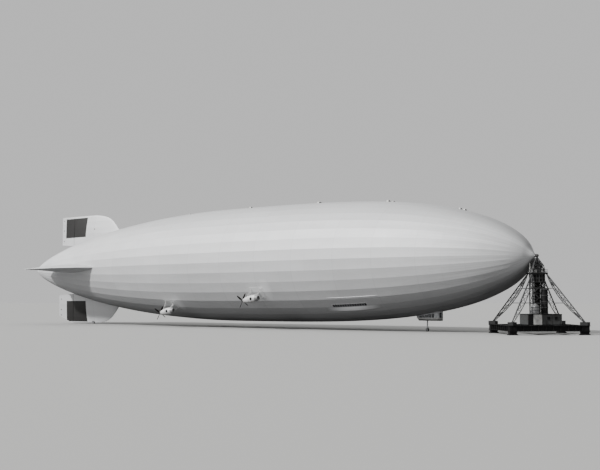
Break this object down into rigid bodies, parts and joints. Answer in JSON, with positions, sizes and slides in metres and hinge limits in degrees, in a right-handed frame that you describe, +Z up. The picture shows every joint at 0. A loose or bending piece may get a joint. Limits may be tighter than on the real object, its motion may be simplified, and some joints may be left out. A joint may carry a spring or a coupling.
{
  "type": "rigid airship moored to a lattice mast, 1:10 scale model",
  "caption": "Long rigid airship with cross fins, engine cars and a control car, its nose held in the cup of a square-based lattice mooring mast.",
  "frame": {"origin": "middle of the whole's footprint, on the ground", "axes": "+X towards the bow and mast, +Y to port, +Z up"},
  "size_m": [26.2862, 4.628, 4.565],
  "materials": {
    "hull_cloth": "doped cloth with aluminium powder, satin",
    "fin_cloth": "doped cloth with aluminium powder, satin",
    "bare_metal": "satin",
    "car_white": "satin paint",
    "machine_grey": "matt dark paint",
    "mast_steel": "matt dark paint",
    "tank_grey": "weathered paint",
    "dark_wood": "dark varnish",
    "tyre_rubber": "matt rubber",
    "window_glass": "clear"
  },
  "bodies": {
    "airship": {"hull_stern": "hull_cloth", "hull_aft": "hull_cloth", "hull_middle": "hull_cloth", "hull_forward": "hull_cloth", "hull_bow": "hull_cloth", "tail_cone": "hull_cloth", "nose_cap": "bare_metal", "fin_upper": "fin_cloth", "fin_port": "fin_cloth", "fin_lower": "fin_cloth", "fin_starboard": "fin_cloth", "engine_car_front_port": "car_white", "engine_front_port": "machine_grey", "car_struts_front_port": "bare_metal", "engine_car_front_starboard": "car_white", "engine_front_starboard": "machine_grey", "car_struts_front_starboard": "bare_metal", "engine_car_rear_port": "car_white", "engine_rear_port": "machine_grey", "car_struts_rear_port": "bare_metal", "engine_car_rear_starboard": "car_white", "engine_rear_starboard": "machine_grey", "car_struts_rear_starboard": "bare_metal", "control_car": "bare_metal", "control_car_glass": "window_glass", "control_car_floor": "bare_metal", "landing_fork_front": "bare_metal", "landing_fork_tail": "bare_metal", "mast_base": "mast_steel", "mast_house": "mast_steel", "mast_tower": "mast_steel", "mast_leg_front": "mast_steel", "mast_leg_port": "mast_steel", "mast_leg_rear": "mast_steel", "mast_leg_starboard": "mast_steel", "mast_ring_lower": "mast_steel", "mast_ring_upper": "mast_steel", "mast_drum": "machine_grey", "mast_platform": "mast_steel", "mast_head_frame": "mast_steel", "mast_tank": "tank_grey", "mast_pipe": "machine_grey", "mooring_cup": "machine_grey"},
    "propeller_front_port": {"propeller_front_port": "dark_wood"},
    "propeller_front_starboard": {"propeller_front_starboard": "dark_wood"},
    "propeller_rear_port": {"propeller_rear_port": "dark_wood"},
    "propeller_rear_starboard": {"propeller_rear_starboard": "dark_wood"},
    "landing_wheel_front": {"landing_wheel_front": "tyre_rubber"},
    "landing_wheel_tail": {"landing_wheel_tail": "tyre_rubber"},
    "rudder_upper": {"rudder_upper": "fin_cloth"},
    "rudder_lower": {"rudder_lower": "fin_cloth"},
    "elevator_port": {"elevator_port": "fin_cloth"},
    "elevator_starboard": {"elevator_starboard": "fin_cloth"}
  },
  "joints": [
    {"name": "propeller_front_port_spin", "type": "hinge", "parent": "airship", "child": "propeller_front_port", "pos_m": [1.52612, 2.06, 0.96552], "axis": [0.9898, 0, 0.1426], "continuous": true},
    {"name": "propeller_front_starboard_spin", "type": "hinge", "parent": "airship", "child": "propeller_front_starboard", "pos_m": [1.52612, -2.06, 0.96552], "axis": [0.9898, 0, 0.1426], "continuous": true},
    {"name": "propeller_rear_port_spin", "type": "hinge", "parent": "airship", "child": "propeller_rear_port", "pos_m": [-3.15888, 1.61, 0.51652], "axis": [0.9898, 0, 0.1426], "continuous": true},
    {"name": "propeller_rear_starboard_spin", "type": "hinge", "parent": "airship", "child": "propeller_rear_starboard", "pos_m": [-3.15888, -1.61, 0.51652], "axis": [0.9898, 0, 0.1426], "continuous": true},
    {"name": "landing_wheel_front_spin", "type": "hinge", "parent": "airship", "child": "landing_wheel_front", "pos_m": [7.64693, 0, 0.06], "axis": [0, 1, 0], "continuous": true},
    {"name": "landing_wheel_tail_spin", "type": "hinge", "parent": "airship", "child": "landing_wheel_tail", "pos_m": [-9.09307, 0, 0.05], "axis": [0, 1, 0], "continuous": true},
    {"name": "rudder_upper_hinge", "type": "hinge", "parent": "airship", "child": "rudder_upper", "pos_m": [-10.49307, 0, 3.89], "axis": [0, 0, 1], "range_deg": [-15, 15]},
    {"name": "rudder_lower_hinge", "type": "hinge", "parent": "airship", "child": "rudder_lower", "pos_m": [-10.49307, 0, 0.69], "axis": [0, 0, 1], "range_deg": [-25, 5]},
    {"name": "elevator_port_hinge", "type": "hinge", "parent": "airship", "child": "elevator_port", "pos_m": [-10.49307, 1.6, 2.29], "axis": [0, 1, 0], "range_deg": [-15, 15]},
    {"name": "elevator_starboard_hinge", "type": "hinge", "parent": "airship", "child": "elevator_starboard", "pos_m": [-10.49307, -1.6, 2.29], "axis": [0, 1, 0], "range_deg": [-15, 15]}
  ],
  "couplings": [
    {"joint": "elevator_port_hinge", "follows": "elevator_starboard_hinge", "ratio": 1}
  ]
}
